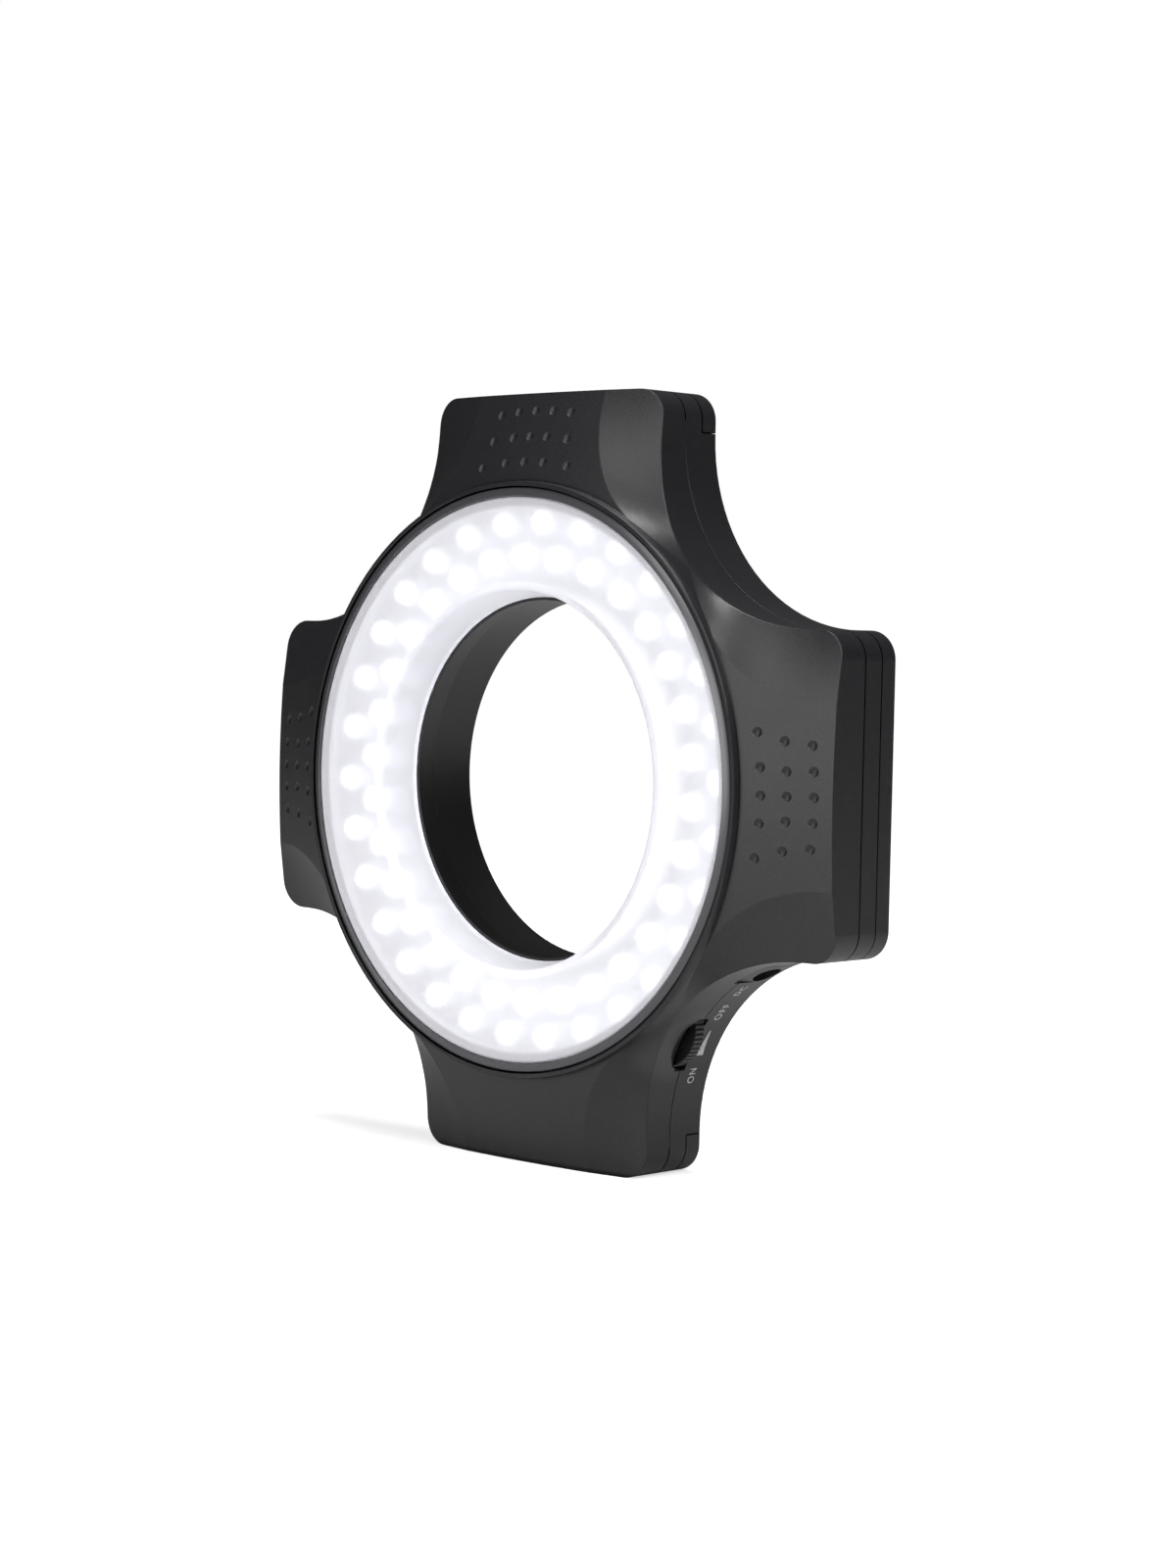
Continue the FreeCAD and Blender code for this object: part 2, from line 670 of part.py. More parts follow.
rear_block = plate("rear_block", cross_outline("0", "arm_corner_radius"), "0", "seam_depth")
doc.recompute()
rear_pad = rear_block.Tip
rear_edges = ["Edge%d" % number_of for number_of, edge in enumerate(rear_pad.Shape.Edges, start=1)
              if abs(edge.BoundBox.YMax) < 0.001 and abs(edge.BoundBox.YMin) < 0.001]
rear_rounding = rear_block.newObject("PartDesign::Fillet", "rear_rounding")
rear_rounding.Base = (rear_pad, rear_edges)
bind(rear_rounding, "Radius", "rear_round")

rear_cavity = plate("rear_cavity", cross_outline("side_wall", "inner_corner_radius"),
                    "floor_wall", "seam_depth + 1")
tube_hole = rod("tube_hole", TUBE_OUT + " + tube_clearance", "-1", "seam_depth + 1")
flange_hole = rod("flange_hole", TUBE_OUT + " + tube_flange + tube_clearance", "-1", "tube_flange_thick")
rear_hollow = cut("rear_hollow", rear_block, rear_cavity, tube_hole, flange_hole)
rear_posts = []
for index, angle in enumerate(POST_ANGLES):
    x, z = on_circle("post_circle", angle)
    rear_posts.append(rod("board_post_%d" % index, "post_radius", "floor_wall - 1", BOARD_REAR, x, z))
for index, (x, z) in enumerate(SCREW_PLACES):
    rear_posts.append(rod("rear_boss_%d" % index, "case_boss_radius", "floor_wall - 1", "seam_depth", x, z))
for index, share in enumerate(("0.25", "0.75")):
    x, z = on_circle("standoff_circle", "-(control_board_from + control_board_sweep * %s)" % share)
    rear_posts.append(rod("standoff_%d" % index, "standoff_radius", "floor_wall - 1", CONTROL_REAR, x, z))
for arm, turn in ARMS:
    # The ledge behind the flat contact plate of this arm
    ledge = box("ledge_" + arm, ("cell_along - contact_half_width", "cell_along + contact_half_width"),
                ("door_depth + door_gap", "ledge_front_depth"),
                (CONTACT_V + " + contact_thick", "arm_half_width - side_wall / 2"))
    ledge_turned = doc.addObject("Part::Compound", "ledge_%s_turned" % arm)
    ledge_turned.Links = [ledge]
    ledge_turned.Placement = Placement(Vector(), Rotation(Vector(0, 1, 0), turn))
    rear_posts.append(ledge_turned)
rear_solid = fuse("rear_solid", rear_hollow, *rear_posts)

rear_cuts = [jack_face("rear_jack_face"), seam_groove("rear_seam_groove")] + wheel_slot("rear_wheel")
rear_cuts.append(notch_rod("rear_jack_hole", "jack_angle", "jack_mouth_radius + jack_gap",
                           "notch_radius + side_wall + 0.5", "notch_radius - 1", "jack_depth"))
rear_cuts.append(notch_rod("rear_jack_pocket", "jack_angle", "jack_body_radius + jack_pocket_gap",
                           "notch_radius + side_wall + jack_length + 3 * jack_pocket_gap",
                           "notch_radius + side_wall", "jack_depth"))
for index, angle in enumerate(POST_ANGLES):
    x, z = on_circle("post_circle", angle)
    rear_cuts.append(rod("post_hole_%d" % index, "board_screw_radius",
                         BOARD_REAR + " + board_thick - board_screw_length - 0.2", BOARD_REAR + " + 1", x, z))
for index, (x, z) in enumerate(SCREW_PLACES):
    rear_cuts.append(rod("case_hole_%d" % index, "case_screw_radius + screw_clearance", "-1", "seam_depth + 1", x, z))
    rear_cuts.append(rod("head_hole_%d" % index, "case_screw_head + screw_clearance", "-1",
                         "case_screw_sink + case_screw_head_thick", x, z))
for arm, turn in ARMS:
    cap_room = box("cap_room_" + arm, ("door_seam_along", "half_span + 5"), ("-1", "door_depth"),
                   ("-arm_half_width - 5", "arm_half_width + 5"))
    bay = box("bay_" + arm, ("bay_start", "door_seam_along + 1"), ("-1", "floor_wall + 1"),
              ("-bay_half_width", "bay_half_width"))
    bay_under = box("bay_under_" + arm, ("bay_start", "door_seam_along + 1"), ("door_lip", "floor_wall + 1"),
                    ("-bay_half_width - bay_ledge", "bay_half_width + bay_ledge"))
    room = fuse("door_room_" + arm, cap_room, bay, bay_under)
    room.Placement = Placement(Vector(), Rotation(Vector(0, 1, 0), turn))
    rear_cuts.append(room)
rear_shell = cut("rear_shell_solid", rear_solid, *rear_cuts)
part(rear_shell, "rear_shell")

# Battery doors: an end cap with a tongue that slides in over the bay

for arm, turn in ARMS:
    cap_zone = box("cap_zone_" + arm, ("door_seam_along + door_gap", "half_span + 5"),
                   ("-1", "door_depth - door_gap"), ("-arm_half_width - 5", "arm_half_width + 5"))
    cap = common("cap_" + arm, rear_block, cap_zone)
    cap_hollow = plate("cap_hollow_" + arm, cross_outline("side_wall", "inner_corner_radius"),
                       "door_plate", "door_depth")
    cap_shell = cut("cap_shell_" + arm, cap, cap_hollow)
    tongue = box("tongue_" + arm, ("bay_start + door_gap", "door_seam_along + door_gap + side_wall"),
                 ("0", "door_plate"), ("-bay_half_width + door_slide_gap", "bay_half_width - door_slide_gap"))
    runner = box("runner_" + arm, ("bay_start + door_gap", "door_seam_along + door_gap + side_wall"),
                 ("door_lip + door_slide_gap", "door_plate"),
                 ("-bay_half_width - bay_ledge + door_slide_gap", "bay_half_width + bay_ledge - door_slide_gap"))
    door = fuse("battery_door_solid_" + arm, cap_shell, tongue, runner)
    part(door, "battery_door_" + arm, turn)

# Lens tube, straight at the rear where an adapter enters, drawn in towards its mouth

lens_tube = turned("lens_tube_solid", [
    ("bore_radius", "0"), (TUBE_OUT + " + tube_flange", "0"),
    (TUBE_OUT + " + tube_flange", "tube_flange_thick"), (TUBE_OUT, "tube_flange_thick"),
    (TUBE_OUT, "tube_depth"), ("tube_mouth_radius", "tube_depth"), ("bore_radius", "bore_straight")])
part(lens_tube, "lens_tube")

# Diffuser: a funnel, a rolled inner edge, a flat front and a short skirt

diffuser = turned("diffuser_solid", [
    ("funnel_rear_radius", "tube_depth + funnel_gap"),
    ("funnel_front_radius", "diffuser_depth - diffuser_roll", "diffuser_roll", -1),
    ("funnel_front_radius + diffuser_roll", "diffuser_depth"),
    ("diffuser_radius - diffuser_edge", "diffuser_depth", "diffuser_edge", -1),
    ("diffuser_radius", "diffuser_depth - diffuser_edge"),
    ("diffuser_radius", "diffuser_depth - diffuser_skirt"),
    ("diffuser_radius - diffuser_wall", "diffuser_depth - diffuser_skirt"),
    ("diffuser_radius - diffuser_wall", "diffuser_depth - diffuser_wall"),
    ("funnel_front_radius + diffuser_roll", "diffuser_depth - diffuser_wall"),
    ("funnel_front_radius + diffuser_wall", "diffuser_depth - diffuser_roll"),
    ("funnel_rear_radius + diffuser_wall", "tube_depth + funnel_gap")])
part(diffuser, "diffuser")

# Bezel ring between the diffuser and the collar, with a foot under the diffuser's skirt

BEZEL_IN = "(diffuser_radius + bezel_gap)"
BEZEL_OUT = "(collar_opening - bezel_side_gap)"
bezel = turned("bezel_ring_solid", [
    (BEZEL_IN, "bezel_depth"),
    (BEZEL_OUT + " - bezel_round", "bezel_depth", "bezel_round", -1),
    (BEZEL_OUT, "bezel_depth - bezel_round"),
    (BEZEL_OUT, SEAT_FRONT),
    ("diffuser_radius - diffuser_wall", SEAT_FRONT),
    ("diffuser_radius - diffuser_wall", "diffuser_depth - diffuser_skirt - bezel_gap"),
    (BEZEL_IN, "diffuser_depth - diffuser_skirt - bezel_gap")])
part(bezel, "bezel_ring")

# LED board on its four posts, with two staggered rings of LEDs

board_disc = turned("board_disc", [
    ("board_inner_radius", BOARD_REAR), ("board_outer_radius", BOARD_REAR),
    ("board_outer_radius", LED_BASE), ("board_inner_radius", LED_BASE)])
board_holes = []
for index, angle in enumerate(POST_ANGLES):
    x, z = on_circle("post_circle", angle)
    board_holes.append(rod("board_hole_%d" % index, "board_screw_radius + screw_clearance",
                           BOARD_REAR + " - 1", LED_BASE + " + 1", x, z))
part(cut("led_board_solid", board_disc, *board_holes), "led_board")

led = turned("led_form", [
    ("0", LED_BASE), ("led_flange_radius", LED_BASE),
    ("led_flange_radius", LED_BASE + " + led_flange_thick"), ("led_radius", LED_BASE + " + led_flange_thick"),
    ("led_radius", "led_tip_depth - led_radius", "led_radius", 1), ("0", "led_tip_depth")])
doc.recompute()
for ring in ("outer", "inner"):
    circle = number(ring + "_led_circle")
    phase = number(ring + "_led_phase")
    count = int(number("led_count"))
    places = []
    for index in range(count):
        angle = math.radians(phase + 360 * index / count)
        places.append(Placement(Vector(circle * math.cos(angle), 0, circle * math.sin(angle)), Rotation()))
    part(copies("leds_%s_group" % ring, led.Shape, places), "leds_" + ring)


def screws(name, places, head, head_thick, radius, length, head_depth, forward):
    """Pan head screws; forward ones enter from the rear, the others from the front."""
    solids = []
    for x, z in places:
        spot = Vector(number(x), -number(head_depth), number(z))
        way = Vector(0, -1, 0) if forward else Vector(0, 1, 0)
        cap = Part.makeCylinder(number(head), number(head_thick), spot, way)
        shank = Part.makeCylinder(number(radius), number(length), spot + way * number(head_thick), way)
        drive = number(head) * 0.55
        slot = Part.makeBox(2 * drive, number(head_thick) * 0.5, 0.35)
        if forward:
            slot.translate(spot + Vector(-drive, -number(head_thick) * 0.5, -0.175))
        else:
            slot.translate(spot + Vector(-drive, 0, -0.175))
        cross = slot.copy()
        cross.rotate(spot, Vector(0, 1, 0), 90)
        solids.append(cap.fuse(shank).cut(slot.fuse(cross)).removeSplitter())
    obj = doc.addObject("Part::Feature", name)
    obj.Shape = Part.makeCompound(solids)
    obj.Placement = Placement()
    return obj


part(screws("case_screw_group", SCREW_PLACES, "case_screw_head", "case_screw_head_thick",
            "case_screw_radius", "case_screw_length", "case_screw_sink", True), "case_screws")
part(screws("board_screw_group", [on_circle("post_circle", angle) for angle in POST_ANGLES],
            "board_screw_head", "board_screw_head_thick", "board_screw_radius",
            "board_screw_length", LED_BASE + " + board_screw_head_thick", False), "board_screws")

# One battery across each arm, between a flat contact and a sprung one

for arm, turn in ARMS:
    can = cross_rod("can_" + arm, "cell_radius", "cell_along", "cell_depth", "-cell_length / 2", "cell_length / 2")
    nub = cross_rod("nub_" + arm, "cell_nub_radius", "cell_along", "cell_depth",
                    "cell_length / 2 - 1", "cell_length / 2 + cell_nub")
    part(fuse("battery_cell_solid_" + arm, can, nub), "battery_cell_" + arm, turn)

quarter_turns = [Placement(Vector(), Rotation(Vector(0, 1, 0), turn)) for arm, turn in ARMS]
flat_contact = box("flat_contact", ("cell_along - contact_half_width", "cell_along + contact_half_width"),
                   ("contact_rear_depth", "contact_front_depth"), (CONTACT_V, CONTACT_V + " + contact_thick"))
sprung_contact = box("sprung_contact", ("cell_along - contact_half_width", "cell_along + contact_half_width"),
                     ("contact_rear_depth + 1", "contact_front_depth"),
                     ("side_wall - arm_half_width", "side_wall - arm_half_width + contact_thick"))
spring = doc.addObject("Part::Cone", "spring_form")
bind(spring, "Radius1", "spring_large_radius")
bind(spring, "Radius2", "spring_small_radius")
bind(spring, "Height", "arm_half_width - side_wall - contact_thick - cell_length / 2")
bind(spring, "Placement.Base.x", "cell_along")
bind(spring, "Placement.Base.y", "-cell_depth")
bind(spring, "Placement.Base.z", "side_wall - arm_half_width + contact_thick")
doc.recompute()
part(copies("contact_plate_group", flat_contact.Shape, quarter_turns), "contact_plates")
part(copies("spring_plate_group", sprung_contact.Shape, quarter_turns), "spring_plates")
part(copies("spring_group", spring.Shape, quarter_turns), "battery_springs")

# Dimmer: a ridged thumbwheel pressed on the shaft of a small potentiometer

wheel = doc.addObject("PartDesign::Body", "dimmer_wheel_solid")
wheel_section = outline_sketch(wheel, "wheel_section", "XY_Plane", [
    ("shaft_radius", "0"), ("wheel_radius", "0"), ("wheel_radius", "wheel_thick"),
    ("shaft_radius", "wheel_thick")], -1)
wheel_turn = wheel.newObject("PartDesign::Revolution", "wheel_turn")
wheel_turn.Profile = wheel_section
wheel_turn.ReferenceAxis = (wheel_section, ["V_Axis"])
wheel_turn.Angle = 360
doc.recompute()
whole_wheel = wheel_turn.Shape.Volume
groove_sketch = wheel.newObject("Sketcher::SketchObject", "groove_sketch")
groove_plane = [item for item in wheel.Origin.OriginFeatures if item.Role == "XZ_Plane"][0]
groove_sketch.AttachmentSupport = [(groove_plane, "")]
groove_sketch.MapMode = "FlatFace"
groove_sketch.addGeometry(Part.Circle(Vector(number("wheel_radius"), 0, 0), Vector(0, 0, 1),
                                      number("wheel_groove")), False)
groove_at = groove_sketch.addConstraint(Sketcher.Constraint("DistanceX", 0, 3, number("wheel_radius")))
bind(groove_sketch, "Constraints[%d]" % groove_at, "wheel_radius")
groove_sketch.addConstraint(Sketcher.Constraint("PointOnObject", 0, 3, -1))
groove_size = groove_sketch.addConstraint(Sketcher.Constraint("Radius", 0, number("wheel_groove")))
bind(groove_sketch, "Constraints[%d]" % groove_size, "wheel_groove")
groove = wheel.newObject("PartDesign::Pocket", "groove")
groove.Profile = groove_sketch
groove.Midplane = True
bind(groove, "Length", "wheel_thick * 3")
doc.recompute()
ridges = wheel.newObject("PartDesign::PolarPattern", "ridges")
ridges.Originals = [groove]
wheel_axis = [item for item in wheel.Origin.OriginFeatures if item.Role == "Y_Axis"][0]
ridges.Axis = (wheel_axis, [""])
ridges.Angle = 360
bind(ridges, "Occurrences", "wheel_ridges")
wheel.Tip = ridges
doc.recompute()
if not wheel.Shape.Volume < whole_wheel - 0.5 * number("wheel_ridges") * 0.1:
    raise RuntimeError("the thumbwheel has no grooves")
bind(wheel, "Placement.Base.x", WHEEL_X)
bind(wheel, "Placement.Base.y", "-wheel_rear_depth")
bind(wheel, "Placement.Base.z", WHEEL_Z)
part(wheel, "dimmer_wheel")

part(rod("dimmer_shaft_solid", "shaft_radius", POT_REAR + " + pot_gap",
         "wheel_rear_depth + wheel_thick", WHEEL_X, WHEEL_Z), "dimmer_shaft")
pot_case = rod("pot_case", "pot_radius", POT_REAR, POT_FRONT, WHEEL_X, WHEEL_Z)
pot_bore = rod("pot_bore", "shaft_radius + shaft_clearance", POT_REAR + " - 1", POT_FRONT + " + 1",
               WHEEL_X, WHEEL_Z)
part(cut("dimmer_pot_solid", pot_case, pot_bore), "dimmer_pot")

sector = doc.addObject("Part::Cylinder", "board_sector")
sector.Placement = Placement(Vector(), Rotation(Vector(1, 0, 0), 90))
bind(sector, "Radius", "control_board_out")
bind(sector, "Height", "control_board_thick")
bind(sector, "Angle", "control_board_sweep")
bind(sector, "Placement.Base.y", "-" + CONTROL_REAR)
sector_hole = rod("sector_hole", "control_board_in", CONTROL_REAR + " - 1", POT_REAR + " + 1")
control_board = cut("control_board_solid", sector, sector_hole)
part(control_board, "control_board", number("control_board_from + control_board_sweep"))

# Supply socket behind the flat face in the notch wall

jack_case = notch_rod("jack_case", "jack_angle", "jack_body_radius",
                      "notch_radius + side_wall + jack_gap + jack_length",
                      "notch_radius + side_wall + jack_gap", "jack_depth")
jack_mouth = notch_rod("jack_mouth", "jack_angle", "jack_mouth_radius",
                       "notch_radius + side_wall + jack_gap + jack_mouth_depth",
                       "notch_radius + side_wall - 1", "jack_depth")
part(cut("dc_jack_solid", jack_case, jack_mouth), "dc_jack")
part(notch_rod("dc_jack_pin_solid", "jack_angle", "jack_pin_radius",
               "notch_radius + side_wall + jack_gap + jack_mouth_depth",
               "notch_radius + side_wall + jack_gap + jack_mouth_depth - jack_pin_length", "jack_depth"),
     "dc_jack_pin")

doc.recompute()

for obj in doc.Objects:
    if "Invalid" in obj.State or "Error" in obj.State:
        raise RuntimeError("%s is %s" % (obj.Name, obj.State))
for obj in PARTS:
    if obj.Shape.isNull() or not obj.Shape.isValid():
        raise RuntimeError("%s has no valid shape" % obj.Label)

os.makedirs("parts", exist_ok=True)
for obj in PARTS:
    obj.Shape.exportStep("parts/%s.step" % obj.Label)
    bounds = obj.Shape.BoundBox
    print("%-22s %3d solids %10.1f mm3  x %7.2f %7.2f  y %7.2f %7.2f  z %7.2f %7.2f" % (
        obj.Label, len(obj.Shape.Solids), obj.Shape.Volume, bounds.XMin, bounds.XMax,
        bounds.YMin, bounds.YMax, bounds.ZMin, bounds.ZMax))
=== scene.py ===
import bmesh
import bpy
import math
from mathutils import Matrix, Quaternion, Vector


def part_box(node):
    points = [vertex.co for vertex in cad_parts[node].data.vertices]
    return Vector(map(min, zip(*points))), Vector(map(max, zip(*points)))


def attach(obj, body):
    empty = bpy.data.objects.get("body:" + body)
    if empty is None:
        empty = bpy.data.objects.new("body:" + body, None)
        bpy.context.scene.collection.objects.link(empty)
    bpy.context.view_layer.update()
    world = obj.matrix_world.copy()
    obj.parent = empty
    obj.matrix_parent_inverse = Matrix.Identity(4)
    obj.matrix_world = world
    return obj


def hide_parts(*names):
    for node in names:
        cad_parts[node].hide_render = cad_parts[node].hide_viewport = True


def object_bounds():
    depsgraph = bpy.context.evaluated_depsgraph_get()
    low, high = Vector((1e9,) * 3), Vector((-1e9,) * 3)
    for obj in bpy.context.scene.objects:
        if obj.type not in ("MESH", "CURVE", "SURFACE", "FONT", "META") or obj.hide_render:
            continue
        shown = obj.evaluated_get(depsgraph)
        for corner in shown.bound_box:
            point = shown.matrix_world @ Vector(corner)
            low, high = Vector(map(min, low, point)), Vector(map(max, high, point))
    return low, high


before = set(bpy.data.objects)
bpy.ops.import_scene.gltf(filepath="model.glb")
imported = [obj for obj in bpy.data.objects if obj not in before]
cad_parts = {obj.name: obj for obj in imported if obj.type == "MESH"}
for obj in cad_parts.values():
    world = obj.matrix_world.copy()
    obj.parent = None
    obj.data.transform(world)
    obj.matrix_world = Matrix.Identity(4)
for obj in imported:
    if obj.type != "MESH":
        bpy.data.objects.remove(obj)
cad_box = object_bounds()
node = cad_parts


# Housing: two moulded halves in black ABS. Both tools are spark eroded, which gives the fine
# matt grain, and every moulded edge comes out slightly rounded. Four screws from the rear
# hold the halves together.

def new_finish(name):
    """A new material, with its tree of nodes and its shader."""
    material = bpy.data.materials.new(name)
    material.use_nodes = True
    return material, material.node_tree, material.node_tree.nodes["Principled BSDF"]


def feed(made, inputs):
    """Give a node its inputs: numbers, colours, or what other nodes give out."""
    for name, value in inputs.items():
        if isinstance(value, bpy.types.NodeSocket):
            made.id_data.links.new(value, made.inputs[name])
        else:
            made.inputs[name].default_value = value


def added(tree, kind, inputs, **settings):
    """Add a node, with its settings and its inputs."""
    made = tree.nodes.new("ShaderNode" + kind)
    for name, value in settings.items():
        setattr(made, name, value)
    feed(made, inputs)
    return made


def place_on(tree):
    """Where a point lies on the object."""
    return added(tree, "TexCoord", {}).outputs["Object"]


def axes_of(place):
    """The three axes of a place."""
    return added(place.id_data, "SeparateXYZ", {"Vector": place}).outputs


def away_from(tree, point):
    """How far a place is from a point."""
    inputs = {0: place_on(tree), 1: point}
    return added(tree, "VectorMath", inputs, operation="DISTANCE").outputs["Value"]


def worked(operation, *values):
    """One step of arithmetic on numbers and on what nodes give out."""
    tree = next(value.id_data for value in values if isinstance(value, bpy.types.NodeSocket))
    return added(tree, "Math", dict(enumerate(values)), operation=operation).outputs["Value"]


def ranged(value, low, high):
    """Turn a value between 0 and 1 into one between low and high."""
    inputs = {"Value": value, "To Min": low, "To Max": high}
    return added(value.id_data, "MapRange", inputs).outputs["Result"]


def eased(value, start, end, low, high):
    """Turn a value between start and end smoothly into one between low and high."""
    inputs = {"Value": value, "From Min": start, "From Max": end, "To Min": low, "To Max": high}
    ease = added(value.id_data, "MapRange", inputs, interpolation_type="SMOOTHSTEP")
    return ease.outputs["Result"]


def patches(tree, per_metre, detail=2, roughness=0.5):
    """A cloudy pattern of so many patches to the metre."""
    inputs = {"Vector": place_on(tree), "Scale": per_metre, "Detail": detail, "Roughness": roughness}
    return added(tree, "TexNoise", inputs).outputs["Fac"]


def coloured(value, *stops, between="LINEAR"):
    """Turn a value into a colour, from stops that each have a value and a colour."""
    made = added(value.id_data, "ValToRGB", {"Fac": value})
    made.color_ramp.interpolation = between
    elements = made.color_ramp.elements
    for number, (position, colour) in enumerate(stops):
        stop = elements[number] if number < 2 else elements.new(position)
        stop.position = position
        stop.color = (*colour, 1)
    return made.outputs["Color"]


def turned_to(tone, colour, share):
    """A tone that turns to a plain colour by a share."""
    inputs = {"Factor": share, "A": tone, "B": (*colour, 1)}
    return added(share.id_data, "Mix", inputs, data_type="RGBA").outputs["Result"]


def raised(height, distance):
    """A surface that stands up by a distance where the height is 1."""
    return added(height.id_data, "Bump", {"Height": height, "Distance": distance})


def moulded_plastic(name, colour, mottle, roughness, grain_size, grain_height, edge):
    """Moulded plastic with a grain, a tone mottled by a share and edges rounded by an amount."""
    material, tree, shader = new_finish(name)
    grain = patches(tree, per_metre=1 / grain_size, roughness=0.7)
    dark, light = (tuple(c * share for c in colour) for share in (1 - mottle, 1 + mottle))
    rounded = added(tree, "Bevel", {"Radius": edge}, samples=8)
    surface = raised(grain, grain_height)
    feed(surface, {"Normal": rounded.outputs["Normal"]})
    feed(shader, {
        "Base Color": coloured(grain, (0.3, dark), (0.7, light)),
        "Roughness": ranged(patches(tree, per_metre=60), roughness - 0.04, roughness + 0.04),
        "Specular IOR Level": 0.45,
        "Normal": surface.outputs["Normal"]})
    return material


def finish_with(material, *names):
    """Give one finish to every face of these parts."""
    for name in names:
        slots = node[name].material_slots
        if not slots:
            node[name].data.materials.append(material)
        for slot in slots:
            slot.link = "OBJECT"
            slot.material = material


def from_middle(tree):
    """How far a point lies across, up and along the bore, each from the middle of the bore."""
    axes = axes_of(place_on(tree))
    return worked("ABSOLUTE", axes["X"]), worked("ABSOLUTE", axes["Z"]), axes["Y"]


seam_depth = -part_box("front_shell")[1][1]
seam_start = 0.0685
seam_margin = 0.0007
door_depth = -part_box("battery_door_right")[0][1]
door_start = 0.0664
wall_start = 0.0275
gap_reach = 0.00017
# Painted shade in creases and dimples: how far the darkening looks for nearby surfaces, and how dark it
# gets.
crease_reach, painted_crease_darkness = 0.0012, 0.75
crease_shut, crease_open = 0.6, 0.97
shell_black = (0.009, 0.0088, 0.0104)


def shell_plastic(name, edge):
    """Black ABS with painted shade: black in the gaps at the arms' seam and round the doors, darker in
    creases and dimples.
    """
    material = moulded_plastic(name, shell_black, mottle=0.4, roughness=0.42, grain_size=0.0003,
                               grain_height=0.00003, edge=edge)
    tree = material.node_tree
    across, up, level = from_middle(tree)
    out = worked("MAXIMUM", across, up)
    # Painted shade: the gaps at the seam and round the doors are coloured black, with their sheen taken
    # away.
    seam = worked("MULTIPLY", worked("COMPARE", level, -seam_depth, gap_reach),
                  worked("GREATER_THAN", out, seam_start))
    over_door = worked("MULTIPLY", worked("COMPARE", level, -door_depth, gap_reach),
                       worked("GREATER_THAN", out, door_start))
    at_walls = worked("MULTIPLY", worked("GREATER_THAN", level, -door_depth),
                      worked("GREATER_THAN", worked("MINIMUM", across, up), wall_start))
    beside_door = worked("MULTIPLY", worked("COMPARE", out, door_start, gap_reach), at_walls)
    gap_painted_shade = worked("MAXIMUM", seam, worked("MAXIMUM", over_door, beside_door))
    # Painted shade: creases and dimples are darkened where nearby surfaces close in on them, but not just
    # in front of the seam.
    hollow = added(tree, "AmbientOcclusion", {"Distance": crease_reach}, samples=16)
    off_seam = eased(level, -seam_depth - 2 * seam_margin, -seam_depth - seam_margin, 1, 0)
    shade = eased(hollow.outputs["AO"], crease_shut, crease_open, painted_crease_darkness, 0)
    crease_painted_shade = worked("MULTIPLY", shade, off_seam)
    painted_shade = worked("MAXIMUM", gap_painted_shade, crease_painted_shade)
    shader = tree.nodes["Principled BSDF"]
    tone = shader.inputs["Base Color"].links[0].from_socket
    feed(shader, {
        "Base Color": turned_to(tone, (0, 0, 0), painted_shade),
        "Specular Tint": worked("SUBTRACT", 1, painted_shade)})
    return material


finish_with(shell_plastic("rear_shell_plastic", edge=0.00016), "rear_shell")

# The front shell's edges are softer: a little on the creases and the arms' rims, and much at
# the saddles between the arms and in the scoop by the thumbwheel, but not on the dimpled
# panels. The scoop is painted paler, a painted light that lifts the shade in it.
panel_edge, crease_edge, saddle_edge, scoop_edge = 0.00006, 0.0004, 0.0011, 0.0006
panel_half, crease_half = 0.0135, 0.0165
saddle_start, saddle_full = 0.72, 0.9
scoop_forward, scoop_radius, scoop_painted_light_radius, scoop_fade = 0.001, 0.0075, 0.0085, 0.003
rim_start, rim_end, rim_share = 0.0024, 0.004, 0.4
scoop_painted_light_grey = (0.03, 0.03, 0.032)
wheel_low, wheel_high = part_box("dimmer_wheel")
wheel_x = (wheel_low[0] + wheel_high[0]) / 2
wheel_z = (wheel_low[2] + wheel_high[2]) / 2
front_finish = shell_plastic("front_shell_plastic", panel_edge)
tree = front_finish.node_tree
across, up, level = from_middle(tree)
nearer = worked("MINIMUM", across, up)
slant = worked("DIVIDE", nearer, worked("MAXIMUM", across, up))
scoop = away_from(tree, (wheel_x, wheel_low[1] - scoop_forward, wheel_z))
edge = worked("ADD", eased(nearer, panel_half, crease_half, panel_edge, crease_edge),
              eased(slant, saddle_start, saddle_full, 0, saddle_edge))
edge = worked("ADD", edge, eased(scoop, scoop_radius, scoop_radius + scoop_fade, scoop_edge, 0))
clear_of_seam = eased(level, -seam_depth - rim_start, -seam_depth - rim_end, rim_share, 1)
rounded = next(made for made in tree.nodes if made.type == "BEVEL")
feed(rounded, {"Radius": worked("MULTIPLY", edge, clear_of_seam)})
shader = tree.nodes["Principled BSDF"]
tone = shader.inputs["Base Color"].links[0].from_socket
# Painted light: near the wheel the scoop's colour is made paler to lift the shade in it.
scoop_painted_light = eased(scoop, scoop_painted_light_radius, scoop_painted_light_radius + scoop_fade, 1, 0)
feed(shader, {"Base Color": turned_to(tone, scoop_painted_light_grey, scoop_painted_light)})
finish_with(front_finish, "front_shell")


# Battery doors: end caps moulded in the same black ABS. Each slides outwards, held by the
# runners of its tongue under the lips of the bay.

door_finish = shell_plastic("door_plastic", panel_edge)
finish_with(door_finish, "battery_door_right", "battery_door_top", "battery_door_left",
            "battery_door_bottom")


# Lens tube: a smoother satin black moulding pressed into the rear shell from behind. It
# lines the bore and takes the adapter ring of the lens.

